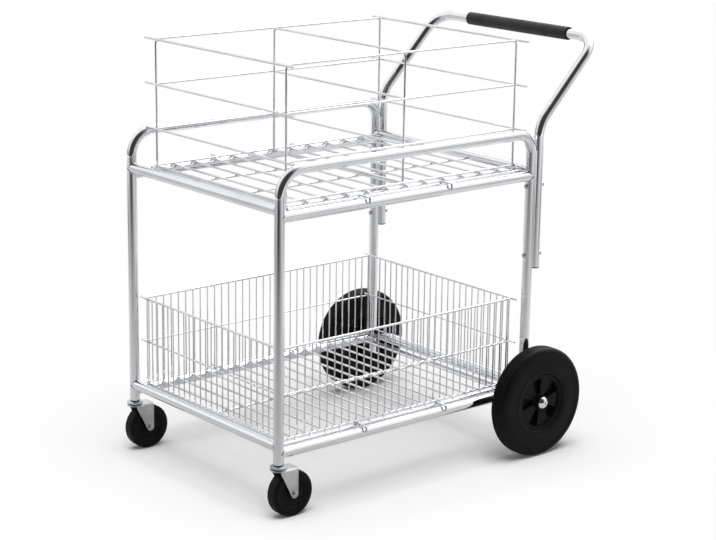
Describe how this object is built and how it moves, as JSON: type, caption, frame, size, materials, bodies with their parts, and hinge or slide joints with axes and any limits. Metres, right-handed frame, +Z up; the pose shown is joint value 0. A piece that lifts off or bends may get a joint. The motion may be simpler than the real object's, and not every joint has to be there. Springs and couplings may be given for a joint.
{
  "type": "mobile file cart",
  "caption": "Chrome tube file cart with an open wire file basket over a close-wired basket, a push handle, large fixed rear wheels and small swivel casters.",
  "frame": {"origin": "middle of the cart's bounding box, on the floor that it stands on", "axes": "+X to the rear, where the handle is; -Y to the pusher's left; +Z up"},
  "size_m": [0.9354, 0.6846, 0.9475],
  "materials": {
    "chrome": "bright chrome plating",
    "wire": "chrome-plated welded wire",
    "zinc": "zinc-plated steel",
    "rubber": "matte black rubber",
    "black_plastic": "moulded black plastic",
    "foam": "soft black grip",
    "grey_plastic": "dark grey moulded plastic",
    "bronze": "oiled sintered bronze"
  },
  "bodies": {
    "frame": {"file_basket_divider": "wire", "file_basket_floor": "wire", "file_basket_front": "wire", "file_basket_left": "wire", "file_basket_rear": "wire", "file_basket_right": "wire", "handle_grip": "foam", "handle_tube": "chrome", "left_axle_cap": "chrome", "left_axle_spacer": "zinc", "left_caster_socket": "grey_plastic", "left_caster_stem": "zinc", "left_handle_plug": "grey_plastic", "left_leg_plug": "grey_plastic", "left_lower_handle_bolt": "zinc", "left_lower_handle_nut": "zinc", "left_side_frame": "chrome", "left_upper_handle_bolt": "zinc", "left_upper_handle_nut": "zinc", "lower_basket_floor": "wire", "lower_basket_front": "wire", "lower_basket_left": "wire", "lower_basket_rear": "wire", "lower_basket_right": "wire", "lower_front_rail": "chrome", "lower_left_rail": "chrome", "lower_rear_rail": "chrome", "lower_right_rail": "chrome", "rear_axle": "zinc", "right_axle_cap": "chrome", "right_axle_spacer": "zinc", "right_caster_socket": "grey_plastic", "right_caster_stem": "zinc", "right_handle_plug": "grey_plastic", "right_leg_plug": "grey_plastic", "right_lower_handle_bolt": "zinc", "right_lower_handle_nut": "zinc", "right_side_frame": "chrome", "right_upper_handle_bolt": "zinc", "right_upper_handle_nut": "zinc", "upper_front_rail": "chrome", "upper_left_rail": "chrome", "upper_rear_rail": "chrome", "upper_right_rail": "chrome"},
    "left_caster_swivel": {"left_caster_fork": "zinc", "left_caster_axle": "zinc", "left_caster_race": "zinc"},
    "left_caster_wheel": {"left_caster_tyre": "rubber", "left_caster_hub": "black_plastic"},
    "left_rear_wheel": {"left_rear_tyre": "rubber", "left_rear_hub": "black_plastic", "left_rear_bush": "bronze"},
    "right_caster_swivel": {"right_caster_fork": "zinc", "right_caster_axle": "zinc", "right_caster_race": "zinc"},
    "right_caster_wheel": {"right_caster_tyre": "rubber", "right_caster_hub": "black_plastic"},
    "right_rear_wheel": {"right_rear_tyre": "rubber", "right_rear_hub": "black_plastic", "right_rear_bush": "bronze"}
  },
  "joints": [
    {"name": "left_caster_turn", "type": "hinge", "parent": "frame", "child": "left_caster_swivel", "pos_m": [-0.44731, -0.267, 0.11], "axis": [0, 0, 1], "continuous": true},
    {"name": "left_caster_roll", "type": "hinge", "parent": "left_caster_swivel", "child": "left_caster_wheel", "pos_m": [-0.41731, -0.267, 0.05037], "axis": [0, 1, 0], "continuous": true},
    {"name": "left_rear_roll", "type": "hinge", "parent": "frame", "child": "left_rear_wheel", "pos_m": [0.25669, -0.3112, 0.1262], "axis": [0, 1, 0], "continuous": true},
    {"name": "right_caster_turn", "type": "hinge", "parent": "frame", "child": "right_caster_swivel", "pos_m": [-0.44731, 0.267, 0.11], "axis": [0, 0, 1], "continuous": true},
    {"name": "right_caster_roll", "type": "hinge", "parent": "right_caster_swivel", "child": "right_caster_wheel", "pos_m": [-0.41731, 0.267, 0.05037], "axis": [0, 1, 0], "continuous": true},
    {"name": "right_rear_roll", "type": "hinge", "parent": "frame", "child": "right_rear_wheel", "pos_m": [0.25669, 0.3112, 0.1262], "axis": [0, 1, 0], "continuous": true}
  ]
}
